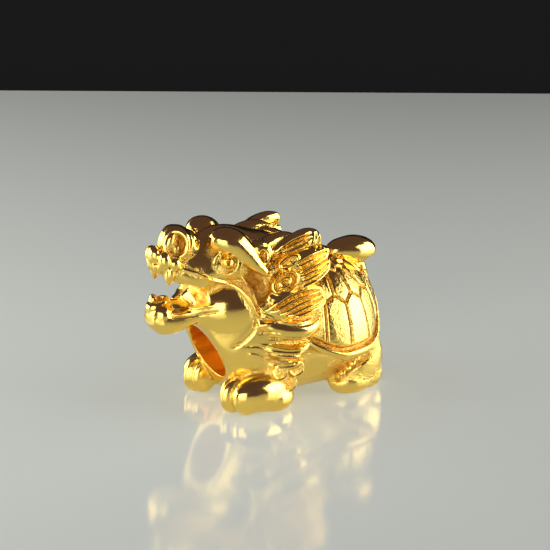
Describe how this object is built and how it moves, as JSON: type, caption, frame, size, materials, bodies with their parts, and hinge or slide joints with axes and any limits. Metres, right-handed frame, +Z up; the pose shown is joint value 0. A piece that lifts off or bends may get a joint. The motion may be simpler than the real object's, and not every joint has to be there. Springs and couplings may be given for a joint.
{
  "type": "dragon turtle bead",
  "caption": "Small polished gold bead cast as a dragon turtle, with an open-mouthed dragon head, a mane, a domed shell and four paws, and a round hole for a cord from chest to rump.",
  "frame": {"origin": "on the ground under the four paws, in the middle of the figure's box", "axes": "+Z up, the head looks towards -Y, and the figure's own left side is towards +X"},
  "size_m": [0.0075, 0.014, 0.0101],
  "materials": {
    "gold": "yellow gold, mirror polished on the raised forms, satin on the cheeks, belly and shell plates, and grainy in the carved hollows"
  },
  "bodies": {
    "root": {"dragon_turtle": "gold"}
  },
  "joints": []
}
